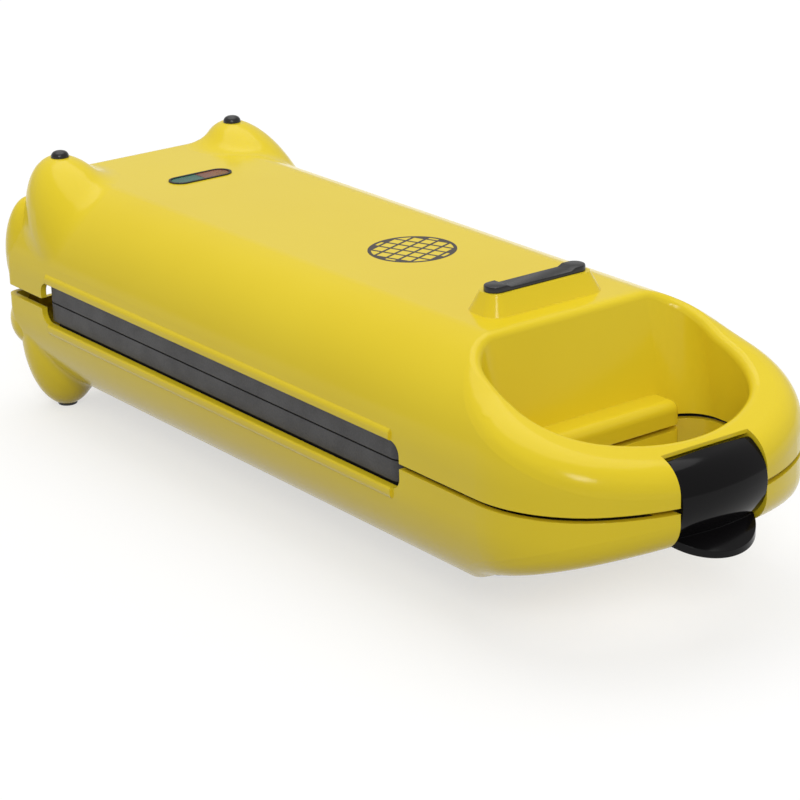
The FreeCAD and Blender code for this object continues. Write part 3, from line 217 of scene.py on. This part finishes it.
class Finish:
    """A material under construction: one Principled shader and the textures that feed it."""

    def __init__(self, name, constants):
        self.material = bpy.data.materials.new(name)
        self.material.use_nodes = True
        self.tree = self.material.node_tree
        self.shader = self.tree.nodes["Principled BSDF"]
        for socket, value in constants.items():
            self.shader.inputs[socket].default_value = value
        self.place = self.node("TexCoord").outputs["Object"]

    def node(self, kind, inputs=None, **options):
        """New shader node with its options set and its inputs set or linked."""
        made = self.tree.nodes.new("ShaderNode" + kind)
        for name, value in options.items():
            setattr(made, name, value)
        for name, value in (inputs or {}).items():
            if isinstance(value, bpy.types.NodeSocket):
                self.tree.links.new(value, made.inputs[name])
            else:
                made.inputs[name].default_value = value
        return made

    def noise(self, grain, detail=2.0, squeeze=(1.0, 1.0, 1.0)):
        """Noise whose features are about grain metres wide, and narrower along an axis by squeeze."""
        squeezed = self.node("Mapping", {"Vector": self.place, "Scale": squeeze})
        return self.node(
            "TexNoise", {"Vector": squeezed.outputs["Vector"], "Scale": 1 / grain, "Detail": detail}
        ).outputs["Fac"]

    def spread(self, value, low, high):
        """The middle of a noise spread over low to high."""
        ends = {"From Min": NOISE_LOW, "From Max": NOISE_HIGH, "To Min": low, "To Max": high}
        return self.node("MapRange", {"Value": value, **ends}).outputs["Result"]

    def colours(self, value, first, second):
        """Base colour that wanders between two tones with a noise."""
        mix = self.node("Mix", data_type="RGBA")
        self.tree.links.new(self.spread(value, 0.0, 1.0), mix.inputs["Factor"])
        mix.inputs["A"].default_value = (*first, 1.0)
        mix.inputs["B"].default_value = (*second, 1.0)
        self.link(mix.outputs["Result"], "Base Color")

    def link(self, output, socket):
        """Feeds a socket of the shader."""
        self.tree.links.new(output, self.shader.inputs[socket])

    def relief(self, height, depth, edge=0.0):
        """Bump of that depth in metres, over edges that are softened by edge metres."""
        inputs = {"Height": height, "Distance": depth, "Strength": 1.0}
        if edge > 0:
            inputs["Normal"] = self.node("Bevel", {"Radius": edge}, samples=4).outputs["Normal"]
        self.link(self.node("Bump", inputs).outputs["Normal"], "Normal")


def moulded(name, first, second, roughness, grain, depth, edge, constants=None):
    """Moulded plastic or rubber: two close tones, a fine grain and an uneven gloss."""
    finish = Finish(name, constants or {})
    finish.colours(finish.noise(TONE_SIZE, 3.0), first, second)
    gloss = finish.noise(GLOSS_SIZE, 4.0)
    low, high = roughness * (1 - GLOSS_SPREAD), roughness * (1 + GLOSS_SPREAD)
    finish.link(finish.spread(gloss, low, high), "Roughness")
    finish.relief(finish.noise(grain, 3.0), depth, edge)
    return finish.material


def metal(name, dark, light, roughness, squeeze, edge):
    """Metal with a drawn grain: fine noise that is narrow across the way it was drawn."""
    finish = Finish(name, {"Metallic": 1.0})
    grain = finish.noise(DRAWN_GRAIN, 4.0, squeeze)
    finish.colours(grain, dark, light)
    low, high = roughness * (1 - DRAWN_SPREAD), roughness * (1 + DRAWN_SPREAD)
    finish.link(finish.spread(grain, low, high), "Roughness")
    finish.relief(grain, DRAWN_RELIEF, edge)
    return finish.material


def coated_plate(settings):
    """Dark non-stick coating on cast metal, with fine flecks."""
    finish = Finish("Plate coating", {"Specular IOR Level": 0.45})
    fleck = finish.noise(FLECK_SIZE, 5.0)
    finish.colours(fleck, settings.plate, settings.plate_fleck)
    finish.link(finish.spread(finish.noise(COAT_PATCH, 3.0), *COAT_ROUGHNESS), "Roughness")
    finish.relief(fleck, FLECK_RELIEF, settings.edge)
    return finish.material


def lens(name, colour, edge):
    """Translucent moulded lens with fine ribs on its inner side."""
    finish = Finish(name, {"Transmission Weight": 0.2, "IOR": 1.49, "Specular IOR Level": 0.25})
    deep = [channel * LENS_DEPTH for channel in colour]
    finish.colours(finish.noise(5 * MM, 3.0), deep, colour)
    finish.link(finish.spread(finish.noise(3 * MM), *LENS_ROUGHNESS), "Roughness")
    ribs = finish.node("TexWave", {"Vector": finish.place, "Scale": RIB_SCALE, "Distortion": RIB_WAVER})
    finish.relief(ribs.outputs["Fac"], RIB_RELIEF, edge)
    return finish.material


def nodes_with(slot):
    """The solids that the record gives this material slot."""
    return [piece["node"] for piece in frame["record"]["subparts"] if piece["material_slot"] == slot]


def dress(slot, material):
    """Gives every solid of a slot its finish."""
    named = nodes_with(slot)
    if not named:
        raise RuntimeError(f"no solid takes the material slot {slot}")
    for name in named:
        piece = frame["nodes"][name]
        piece.data.materials.clear()
        piece.data.materials.append(material)


def clipped(polygon, cutter):
    """The part of a convex polygon inside a convex cutter, both turning to the left."""
    for start, end in zip(cutter, cutter[1:] + cutter[:1]):
        edge = end - start
        kept = []
        for a, b in zip(polygon, polygon[1:] + polygon[:1]):
            side_a = edge.cross(a - start)
            side_b = edge.cross(b - start)
            if side_a >= 0:
                kept.append(a)
            if side_a * side_b < 0:
                kept.append(a + (b - a) * (side_a / (side_a - side_b)))
        polygon = kept
        if not polygon:
            return []
    return polygon


def flat_area(polygon):
    """Area of a polygon that turns to the left."""
    return sum(a.cross(b) for a, b in zip(polygon, polygon[1:] + polygon[:1])) / 2


def circle_points(radius, count):
    """Corners of a circle round the origin, turning to the left."""
    angles = [2 * math.pi * i / count for i in range(count)]
    return [Vector((radius * math.cos(a), radius * math.sin(a))) for a in angles]


def new_piece(name, mesh, material, body):
    """A mesh as a piece of the object that rides on a body."""
    piece = bpy.data.objects.new(name, mesh)
    bpy.context.scene.collection.objects.link(piece)
    piece.data.materials.append(material)
    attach(piece, body)
    return piece


def lid_top(x, y):
    """Height of the lid's outside over a point."""
    shell = frame["nodes"]["lid_shell"]
    hit, place = shell.ray_cast(Vector((x, y, 1.0)), Vector((0.0, 0.0, -1.0)))[:2]
    if not hit:
        raise RuntimeError("the print lies beside the lid")
    return place.z


def flat_mesh(name, outlines, thickness):
    """Closed flat mesh of that thickness, with an outer outline and holes inside it."""
    curve = bpy.data.curves.new(name, "CURVE")
    curve.dimensions = "2D"
    curve.fill_mode = "BOTH"
    curve.extrude = thickness / 2
    for outline in outlines:
        spline = curve.splines.new("POLY")
        spline.points.add(len(outline) - 1)
        for point, place in zip(spline.points, outline):
            point.co = (place.x, place.y, 0.0, 1.0)
        spline.use_cyclic_u = True
    holder = bpy.data.objects.new(name, curve)
    mesh = bpy.data.meshes.new_from_object(holder)
    bpy.data.objects.remove(holder)
    bpy.data.curves.remove(curve)
    return mesh


def strip_half(settings, half_length, inset):
    """Plan of one side of a strip from tip to tip, with round ends and points where its height changes."""
    radius = settings.half_width - inset
    middle = half_length - settings.half_width
    turns = [math.pi / 2 * i / STRIP_END_STEPS for i in range(STRIP_END_STEPS + 1)]
    end = [Vector((middle + radius * math.cos(turn), radius * math.sin(turn))) for turn in turns]
    for distance in (settings.pad, settings.pad + settings.ramp):
        end.append(Vector((half_length - distance, radius)))
    return end + [Vector((-point.x, point.y)) for point in reversed(end)]


def strip_mesh(name, settings, half_length, height):
    """Closed strip on the plane z = 0 whose ends rise over a slope to height."""
    foot = half_length - settings.pad - settings.ramp
    halves = [[(point.x, point.y, 0.0) for point in strip_half(settings, half_length, 0.0)]]
    for inset, drop in EDGE_RINGS:
        half = []
        for point in strip_half(settings, half_length, inset * settings.rounding):
            climb = min(max((abs(point.x) - foot) / settings.ramp, 0.0), 1.0)
            top = settings.thickness + (height - settings.thickness) * climb
            half.append((point.x, point.y, top - drop * settings.rounding))
        halves.append(half)
    shape = bmesh.new()
    left = [[shape.verts.new(place) for place in half] for half in halves]
    right = [[shape.verts.new((x, -y, z)) for x, y, z in half] for half in halves]
    bands = [(left[0], right[0]), (left[-1], right[-1])]
    bands += zip(left, left[1:])
    bands += zip(right, right[1:])
    for first, second in bands:
        for k in range(len(first) - 1):
            shape.faces.new((first[k], first[k + 1], second[k + 1], second[k]))
    bmesh.ops.remove_doubles(shape, verts=shape.verts, dist=WELD_DISTANCE)
    bmesh.ops.recalc_face_normals(shape, faces=shape.faces)
    mesh = bpy.data.meshes.new(name)
    shape.to_mesh(mesh)
    shape.free()
    mesh.shade_smooth()
    mesh.set_sharp_from_angle(angle=SHARP_ANGLE)
    return mesh


class WAFFLE_OT_shells(bpy.types.Operator):
    """Glossy yellow plastic on the two shells"""

    bl_idname = "waffle.shells"
    bl_label = "Finish the shells"

    def execute(self, context):
        finish = context.scene.waffle.finish
        yellow = moulded(
            "Yellow plastic",
            finish.shell_shade,
            finish.shell,
            roughness=finish.shell_roughness,
            grain=finish.grain,
            depth=POLISHED_RELIEF,
            edge=finish.edge,
            constants={"Specular IOR Level": 0.22},
        )
        dress("yellow_plastic", yellow)
        return {"FINISHED"}


class WAFFLE_OT_plates(bpy.types.Operator):
    """Dark non-stick coating on the baking plates"""

    bl_idname = "waffle.plates"
    bl_label = "Finish the baking plates"

    def execute(self, context):
        dress("coated_aluminium", coated_plate(context.scene.waffle.finish))
        return {"FINISHED"}


class WAFFLE_OT_latch(bpy.types.Operator):
    """Glossy black plastic on the latch; satin black on trim and gland, and on the handle covers, where the
    black is painted shade for the parting gap
    """

    bl_idname = "waffle.latch"
    bl_label = "Finish the latch and trim"

    def execute(self, context):
        finish = context.scene.waffle.finish
        lighter = [channel * 1.5 for channel in finish.latch]
        gloss = moulded(
            "Black plastic",
            finish.latch,
            lighter,
            roughness=0.12,
            grain=finish.grain,
            depth=POLISHED_RELIEF,
            edge=finish.edge,
            constants={"Specular IOR Level": 0.14},
        )
        # Satin black: the own colour of trim and gland, and painted shade on the handle covers so that the
        # parting gap reads dark.
        satin = moulded(
            "Black trim and painted gap shade",
            finish.latch,
            lighter,
            roughness=0.42,
            grain=finish.grain,
            depth=SATIN_RELIEF,
            edge=finish.edge,
        )
        dress("black_plastic", gloss)
        dress("black_trim", satin)
        return {"FINISHED"}


class WAFFLE_OT_rubber(bpy.types.Operator):
    """Satin rubber on feet, foot strips and horn tips"""

    bl_idname = "waffle.rubber"
    bl_label = "Finish the rubber"

    def execute(self, context):
        finish = context.scene.waffle.finish
        darker = [channel * 0.75 for channel in finish.rubber]
        rubber = moulded(
            "Dark rubber",
            darker,
            finish.rubber,
            roughness=0.28,
            grain=finish.grain,
            depth=RUBBER_RELIEF,
            edge=finish.edge,
        )
        dress("dark_rubber", rubber)
        return {"FINISHED"}


class WAFFLE_OT_foot_strips(bpy.types.Operator):
    """Rubber strips with sloped, raised ends in place of the plain solids"""

    bl_idname = "waffle.foot_strips"
    bl_label = "Shape the foot strips"

    def execute(self, context):
        settings = context.scene.waffle.strip
        for body, upward in (("lid", True), ("base", False)):
            node = body + "_foot_strip"
            low, high = [Vector(corner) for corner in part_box(node)]
            size = high - low
            mesh = strip_mesh(node + "_shaped", settings, size.x / 2, size.z)
            middle = (low + high) / 2
            seat = Vector((middle.x, middle.y, low.z if upward else high.z))
            turn = Matrix.Rotation(0.0 if upward else math.pi, 4, "X")
            mesh.transform(Matrix.Translation(seat) @ turn)
            rubber = frame["nodes"][node].data.materials[0]
            piece = new_piece(node + "_shaped", mesh, rubber, body)
            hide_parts(node)
        return {"FINISHED"}


class WAFFLE_OT_metal(bpy.types.Operator):
    """Plated screws and hinges, sheet steel and heat-darkened element tube"""

    bl_idname = "waffle.metal"
    bl_label = "Finish the metal"

    def execute(self, context):
        edge = context.scene.waffle.finish.edge
        plated = metal(
            "Plated steel",
            srgb(168, 168, 166),
            srgb(196, 196, 194),
            roughness=0.34,
            squeeze=(1.0, 6.0, 6.0),
            edge=edge,
        )
        sheet = metal(
            "Sheet steel",
            srgb(186, 186, 184),
            srgb(208, 208, 206),
            roughness=0.38,
            squeeze=(1.0, 12.0, 1.0),
            edge=edge,
        )
        tube = metal(
            "Element tube",
            srgb(96, 88, 82),
            srgb(138, 128, 118),
            roughness=0.46,
            squeeze=(4.0, 1.0, 4.0),
            edge=edge,
        )
        dress("steel", plated)
        dress("sheet_steel", sheet)
        dress("element_steel", tube)
        return {"FINISHED"}


class WAFFLE_OT_indicator(bpy.types.Operator):
    """Green and red lenses and the glass lamps behind them"""

    bl_idname = "waffle.indicator"
    bl_label = "Finish the indicator"

    def execute(self, context):
        finish = context.scene.waffle.finish
        dress("green_lens", lens("Green lens", finish.green, finish.edge))
        dress("red_lens", lens("Red lens", finish.red, finish.edge))
        glass = Finish("Lamp glass", {"Transmission Weight": 0.9, "IOR": 1.5})
        glass.colours(glass.noise(4 * MM), srgb(250, 236, 214), srgb(255, 246, 232))
        glass.link(glass.spread(glass.noise(2 * MM), 0.04, 0.1), "Roughness")
        dress("lamp_glass", glass.material)
        return {"FINISHED"}


class WAFFLE_OT_insulators(bpy.types.Operator):
    """Matt white plastic on the terminal block, lamp holder, thermostat and fuses"""

    bl_idname = "waffle.insulators"
    bl_label = "Finish the insulators"

    def execute(self, context):
        finish = context.scene.waffle.finish
        white = moulded(
            "White insulator",
            srgb(214, 211, 202),
            srgb(226, 224, 216),
            roughness=0.5,
            grain=finish.grain,
            depth=SATIN_RELIEF,
            edge=finish.edge,
        )
        dress("white_insulator", white)
        return {"FINISHED"}


class WAFFLE_OT_lid_print(bpy.types.Operator):
    """Plain lattice disc printed on the lid"""

    bl_idname = "waffle.lid_print"
    bl_label = "Print the lid"

    def execute(self, context):
        settings = context.scene.waffle.print
        rim = circle_points(settings.radius, DISC_STEPS)
        inner = circle_points(settings.radius - settings.rim, DISC_STEPS)
        outlines = [rim]
        turn = Matrix.Rotation(settings.turn, 2)
        reach = math.ceil(settings.radius / settings.pitch)
        half = (settings.pitch - settings.bar) / 2
        corners = ((-half, -half), (half, -half), (half, half), (-half, half))
        least = half * half
        for column in range(-reach, reach + 1):
            for row in range(-reach, reach + 1):
                middle = Vector((column, row)) * settings.pitch
                cell = [turn @ (middle + Vector(corner)) for corner in corners]
                window = clipped(cell, inner)
                if window and flat_area(window) > least:
                    outlines.append(window)
        mesh = flat_mesh("lid_print", outlines, settings.thickness)
        top = lid_top(*settings.centre)
        lighter = [channel * 1.3 for channel in settings.ink]
        ink = moulded(
            "Print ink",
            settings.ink,
            lighter,
            roughness=0.35,
            grain=0.2 * MM,
            depth=POLISHED_RELIEF,
            edge=0.0,
        )
        mesh.transform(Matrix.Translation((*settings.centre, top + settings.thickness / 2)))
        new_piece("lid_print", mesh, ink, "lid")
        return {"FINISHED"}


class WAFFLE_OT_stage(bpy.types.Operator):
    """White floor, soft studio lamps and the camera"""

    bl_idname = "waffle.stage"
    bl_label = "Set the stage"

    def execute(self, context):
        settings = context.scene.waffle.stage
        self.floor(settings)
        self.surround(context.scene, settings)
        for name, (place, spread, strength) in LAMPS.items():
            self.lamp(name, place, spread, strength)
        self.camera(context.scene, settings)
        context.scene.view_settings.view_transform = "Standard"
        return {"FINISHED"}

    def floor(self, settings):
        """A matt floor that glows only for what looks at it, so it is white and keeps the shadow."""
        mesh = bpy.data.meshes.new("floor")
        shape = bmesh.new()
        bmesh.ops.create_circle(shape, cap_ends=True, segments=FLOOR_STEPS, radius=FLOOR_RADIUS)
        shape.to_mesh(mesh)
        shape.free()
        floor = bpy.data.objects.new("floor", mesh)
        bpy.context.scene.collection.objects.link(floor)
        material = bpy.data.materials.new("Studio floor")
        material.use_nodes = True
        tree = material.node_tree
        tree.nodes.clear()
        matt = tree.nodes.new("ShaderNodeBsdfDiffuse")
        matt.inputs["Color"].default_value = (*[settings.floor_tone] * 3, 1.0)
        glow = tree.nodes.new("ShaderNodeEmission")
        seen = self.seen_directly(tree)
        lift = tree.nodes.new("ShaderNodeMath")
        lift.operation = "MULTIPLY"
        lift.inputs[1].default_value = settings.floor_lift
        both = tree.nodes.new("ShaderNodeAddShader")
        out = tree.nodes.new("ShaderNodeOutputMaterial")
        tree.links.new(seen, lift.inputs[0])
        tree.links.new(lift.outputs["Value"], glow.inputs["Strength"])
        tree.links.new(matt.outputs["BSDF"], both.inputs[0])
        tree.links.new(glow.outputs["Emission"], both.inputs[1])
        tree.links.new(both.outputs["Shader"], out.inputs["Surface"])
        mesh.materials.append(material)

    def seen_directly(self, tree):
        """1 for rays from the camera and for reflected or refracted ones, 0 for the light on the object."""
        path = tree.nodes.new("ShaderNodeLightPath")
        total = path.outputs["Is Camera Ray"]
        for kind in ("Is Glossy Ray", "Is Transmission Ray"):
            add = tree.nodes.new("ShaderNodeMath")
            add.operation = "ADD"
            add.use_clamp = True
            tree.links.new(total, add.inputs[0])
            tree.links.new(path.outputs[kind], add.inputs[1])
            total = add.outputs["Value"]
        return total

    def surround(self, scene, settings):
        """Even white light from all round."""
        world = bpy.data.worlds.new("Studio")
        scene.world = world
        world.use_nodes = True
        background = world.node_tree.nodes["Background"]
        background.inputs["Color"].default_value = (1.0, 1.0, 1.0, 1.0)
        background.inputs["Strength"].default_value = settings.surround

    def lamp(self, name, place, spread, strength):
        """A distant light of some spread, which falls evenly on the floor."""
        light = bpy.data.lights.new(name, "SUN")
        light.angle = spread
        light.energy = strength
        lamp = bpy.data.objects.new(name, light)
        lamp.location = place
        lamp.rotation_mode = "QUATERNION"
        lamp.rotation_quaternion = (-Vector(place)).to_track_quat("-Z", "Y")
        bpy.context.scene.collection.objects.link(lamp)

    def camera(self, scene, settings):
        """The camera at its place, turned along its aim and rolled."""
        lens_data = bpy.data.cameras.new("Camera")
        lens_data.lens = settings.lens
        lens_data.clip_start, lens_data.clip_end = CAMERA_RANGE
        camera = bpy.data.objects.new("Camera", lens_data)
        turn = (-Vector(settings.aim)).to_track_quat("Z", "Y").to_matrix().to_4x4()
        roll = Matrix.Rotation(settings.roll, 4, "Z")
        camera.matrix_world = Matrix.Translation(settings.place) @ turn @ roll
        scene.collection.objects.link(camera)
        scene.camera = camera


class WAFFLE_PT_pieces(bpy.types.Panel):
    """Lists the pieces and the stage"""

    bl_idname = "WAFFLE_PT_pieces"
    bl_label = "Waffle maker"
    bl_space_type = "VIEW_3D"
    bl_region_type = "UI"
    bl_category = "Waffle maker"

    def draw(self, context):
        for operator in OPERATORS:
            self.layout.operator(operator.bl_idname)


SETTINGS = (
    WaffleFinishSettings,
    WaffleStripSettings,
    WafflePrintSettings,
    WaffleStageSettings,
    WaffleSettings,
)
OPERATORS = (
    WAFFLE_OT_shells,
    WAFFLE_OT_plates,
    WAFFLE_OT_latch,
    WAFFLE_OT_rubber,
    WAFFLE_OT_foot_strips,
    WAFFLE_OT_metal,
    WAFFLE_OT_indicator,
    WAFFLE_OT_insulators,
    WAFFLE_OT_lid_print,
    WAFFLE_OT_stage,
)
CLASSES = SETTINGS + OPERATORS + (WAFFLE_PT_pieces,)


def register():
    for made in CLASSES:
        bpy.utils.register_class(made)
    bpy.types.Scene.waffle = PointerProperty(type=WaffleSettings)


def unregister():
    del bpy.types.Scene.waffle
    for made in reversed(CLASSES):
        bpy.utils.unregister_class(made)


def main():
    register()
    for operator in OPERATORS:
        family, name = operator.bl_idname.split(".")
        getattr(getattr(bpy.ops, family), name)()


if __name__ == "__main__":
    main()
